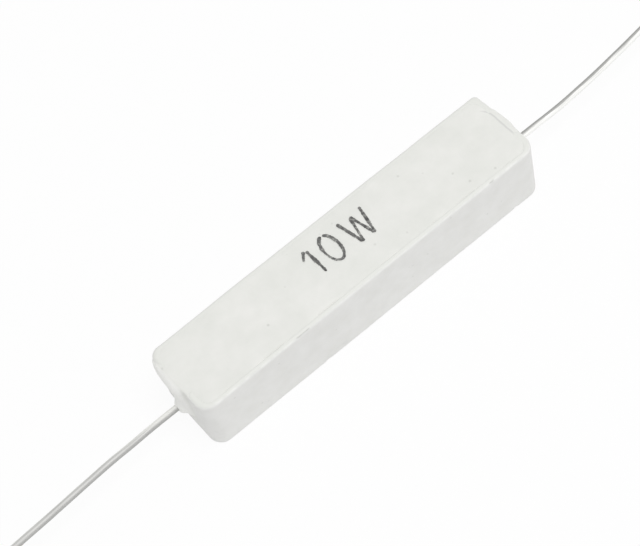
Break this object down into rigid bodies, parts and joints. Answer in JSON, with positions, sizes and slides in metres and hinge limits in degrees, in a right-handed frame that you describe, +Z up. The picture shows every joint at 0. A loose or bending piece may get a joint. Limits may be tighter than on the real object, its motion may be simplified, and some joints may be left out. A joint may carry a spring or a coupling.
{
  "type": "axial resistor",
  "caption": "Long white block of ceramic with rounded corners and a thin straight wire out of the middle of each end.",
  "frame": {"origin": "centre of the base of the ceramic case", "axes": "+X along the case towards the right lead, +Y across it, +Z up out of the base"},
  "size_m": [0.1184, 0.0104, 0.009],
  "materials": {
    "case_ceramic": "matt pressed and fired",
    "potting_cement": "matt cast",
    "core_ceramic": "matt fired",
    "resistance_wire": "drawn wire",
    "cap_steel": "plated pressed sheet",
    "tinned_lead": "tinned wire"
  },
  "bodies": {
    "root": {"ceramic_case": "case_ceramic", "cement_fill": "potting_cement", "core_rod": "core_ceramic", "resistance_winding": "resistance_wire", "end_cap_left": "cap_steel", "end_cap_right": "cap_steel", "lead_left": "tinned_lead", "lead_right": "tinned_lead"}
  },
  "joints": []
}
